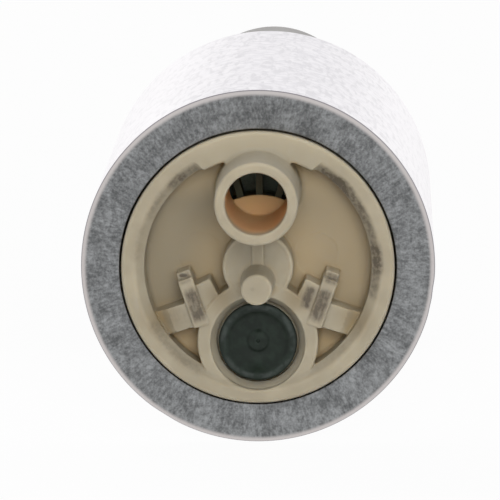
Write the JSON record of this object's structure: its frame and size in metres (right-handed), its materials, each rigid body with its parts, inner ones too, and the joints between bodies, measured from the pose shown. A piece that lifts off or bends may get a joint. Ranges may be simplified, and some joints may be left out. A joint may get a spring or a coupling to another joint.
{
  "type": "electric fuel pump",
  "caption": "Round in-tank electric fuel pump: metal can, cream inlet cover with tube and black relief valve, turbine, motor and barbed outlet.",
  "frame": {"origin": "on the pump's axis, halfway between the can's front and rear rims, where a clamp holds it", "axes": "+Y along the pump's axis from the inlet end to the outlet end; +Z towards the side that the inlet tube is on; +X to the right seen from the inlet end"},
  "size_m": [0.038, 0.1323, 0.038],
  "materials": {
    "can_metal": "streaky zinc-plated steel",
    "cream_plastic": "natural cream moulding, stained",
    "valve_black": "glossy black",
    "black_rubber": "matt black",
    "grey_plastic": "plain grey moulding",
    "brown_plastic": "dark brown moulding",
    "spring_steel": "drawn wire and sheet",
    "bright_steel": "ground",
    "core_steel": "stamped",
    "cast_aluminium": "die cast",
    "bronze": "sintered",
    "ferrite": "matt dark grey",
    "copper": "enamelled wire and bar",
    "carbon": "matt black",
    "tinned_brass": "tinned"
  },
  "bodies": {
    "pump_body": {"pump_shell": "can_metal", "inlet_seal": "black_rubber", "inlet_cover": "cream_plastic", "relief_valve_spring": "spring_steel", "thrust_button": "bright_steel", "pump_chamber": "cast_aluminium", "lower_bearing": "bronze", "flux_ring": "core_steel", "magnet_left": "ferrite", "magnet_right": "ferrite", "magnet_clip_top": "spring_steel", "magnet_clip_bottom": "spring_steel", "upper_bearing": "bronze", "brush_holder": "brown_plastic", "brush_spring_left": "spring_steel", "brush_spring_right": "spring_steel", "brush_lead_left": "copper", "brush_lead_right": "copper", "choke_left": "copper", "choke_right": "copper", "terminal_negative": "tinned_brass", "terminal_positive": "tinned_brass", "outlet_cover": "grey_plastic", "outlet_seal": "black_rubber", "check_valve_seat": "brown_plastic", "check_valve_spring": "spring_steel"},
    "rotor": {"rotor_shaft": "bright_steel", "impeller": "brown_plastic", "armature_core": "core_steel", "armature_winding": "copper", "commutator": "copper"},
    "relief_valve": {"relief_valve": "valve_black", "relief_valve_retainer": "bright_steel"},
    "check_valve": {"check_valve": "valve_black"},
    "brush_left": {"brush_left": "carbon"},
    "brush_right": {"brush_right": "carbon"}
  },
  "joints": [
    {"name": "rotor_spin", "type": "hinge", "parent": "pump_body", "child": "rotor", "pos_m": [0, 0, 0], "axis": [0, 1, 0], "continuous": true},
    {"name": "relief_valve_lift", "type": "slide", "parent": "pump_body", "child": "relief_valve", "axis": [0, -1, 0], "range_m": [0, 0.0012], "stiffness_N_per_m": 200, "springref_m": -0.002, "deforming": ["relief_valve_spring"]},
    {"name": "check_valve_lift", "type": "slide", "parent": "pump_body", "child": "check_valve", "axis": [0, 1, 0], "range_m": [0, 0.002], "stiffness_N_per_m": 200, "springref_m": -0.003, "deforming": ["check_valve_spring"]},
    {"name": "brush_left_slide", "type": "slide", "parent": "pump_body", "child": "brush_left", "axis": [0, 1, 0], "range_m": [0, 0.003], "stiffness_N_per_m": 150, "springref_m": -0.004, "deforming": ["brush_spring_left", "brush_lead_left"]},
    {"name": "brush_right_slide", "type": "slide", "parent": "pump_body", "child": "brush_right", "axis": [0, 1, 0], "range_m": [0, 0.003], "stiffness_N_per_m": 150, "springref_m": -0.004, "deforming": ["brush_spring_right", "brush_lead_right"]}
  ]
}
